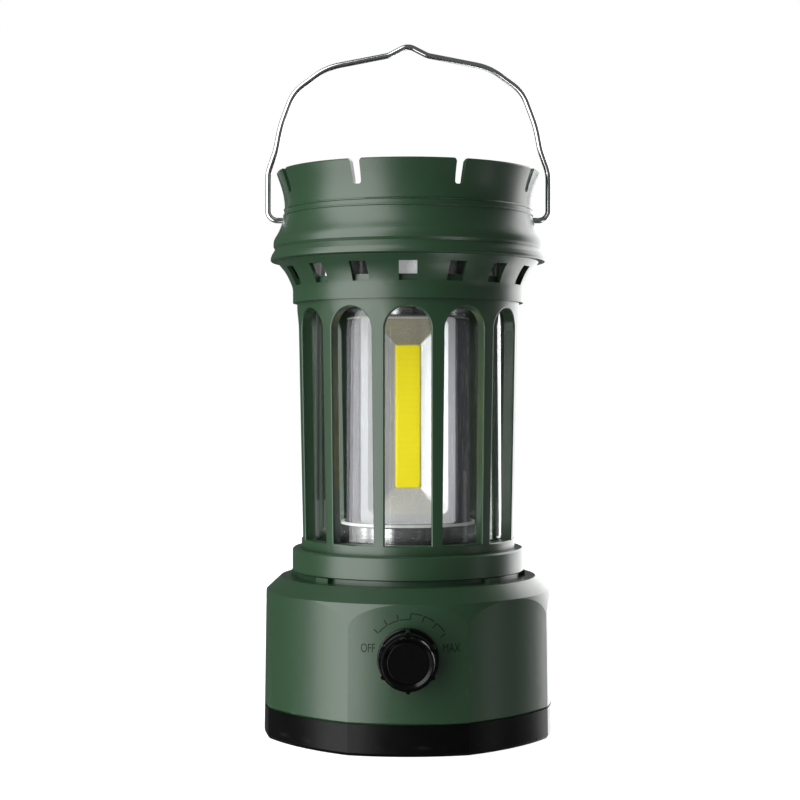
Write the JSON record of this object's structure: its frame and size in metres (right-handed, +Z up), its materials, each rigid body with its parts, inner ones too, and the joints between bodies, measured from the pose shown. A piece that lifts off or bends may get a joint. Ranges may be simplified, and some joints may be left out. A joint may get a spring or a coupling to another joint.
{
  "type": "camping lantern",
  "caption": "Rechargeable camping lantern: octagonal base with a dimmer knob, caged clear tube round an LED column, flared vented head with a notched rim, and a wire bail.",
  "frame": {"origin": "on the lantern's axis, in the plane of the sole that it stands on", "axes": "+Z up along the lantern's axis; -Y to the front, where the dimmer knob is; the bail pivots about X"},
  "size_m": [0.1032, 0.1144, 0.2468],
  "materials": {
    "green_shell": "satin",
    "black_shell": "satin",
    "black_rubber": "matte",
    "knob_black": "gloss",
    "zinc_steel": "satin",
    "nickel": "polished",
    "cell_wrap": "gloss",
    "board_green": "satin",
    "chip_black": "matte",
    "brass_parts": "satin",
    "clear_tube": "polished",
    "clear_lens": "polished",
    "brushed_alloy": "brushed",
    "bright_reflector": "bright",
    "cast_alloy": "satin",
    "white_plastic": "satin",
    "phosphor": "satin",
    "lead_sheath": "satin",
    "torch_chrome": "polished",
    "chromed_wire": "polished"
  },
  "bodies": {
    "lantern": {"rubber_sole": "black_rubber", "foot_cover": "black_shell", "base_shell": "green_shell", "base_screws": "zinc_steel", "battery_tray": "black_shell", "battery_cells": "cell_wrap", "cell_contacts": "nickel", "control_board": "board_green", "board_components": "chip_black", "board_screws": "zinc_steel", "usb_socket": "nickel", "flap_pin": "zinc_steel", "pot_housing": "nickel", "pot_track": "chip_black", "pot_bush": "nickel", "pot_washer": "zinc_steel", "pot_nut": "nickel", "locking_ring": "green_shell", "collar_ring": "green_shell", "cage": "green_shell", "chimney": "clear_tube", "lower_gasket": "black_rubber", "upper_gasket": "black_rubber", "lamp_deck": "black_shell", "pedestal": "brushed_alloy", "pedestal_ring": "white_plastic", "reflector_column": "bright_reflector", "cob_boards": "white_plastic", "cob_phosphors": "phosphor", "column_cap": "brushed_alloy", "top_deck": "bright_reflector", "spacer_tube": "brushed_alloy", "tie_tube": "zinc_steel", "tie_nuts": "zinc_steel", "led_leads": "lead_sheath", "heat_sink": "cast_alloy", "head_shell": "green_shell", "head_screws": "zinc_steel", "torch_board": "white_plastic", "torch_led": "phosphor", "torch_reflector": "torch_chrome", "lens_gasket": "black_rubber", "torch_lens": "clear_lens", "lens_ring": "black_shell"},
    "bail": {"bail": "chromed_wire", "bail_clips": "zinc_steel"},
    "dimmer": {"dimmer_knob": "knob_black", "knob_cap": "knob_black", "knob_shaft": "nickel", "pot_wiper": "brass_parts"},
    "port_flap": {"usb_flap": "black_rubber"}
  },
  "joints": [
    {"name": "bail_swing", "type": "hinge", "parent": "lantern", "child": "bail", "pos_m": [0, 0, 0.1832], "axis": [1, 0, 0], "range_deg": [-130, 130]},
    {"name": "dimmer_turn", "type": "hinge", "parent": "lantern", "child": "dimmer", "pos_m": [0, -0.0517, 0.033], "axis": [0, -1, 0], "range_deg": [-70, 70]},
    {"name": "flap_hinge", "type": "hinge", "parent": "lantern", "child": "port_flap", "pos_m": [0, 0.0496, 0.0237], "axis": [-1, 0, 0], "range_deg": [0, 110]}
  ]
}
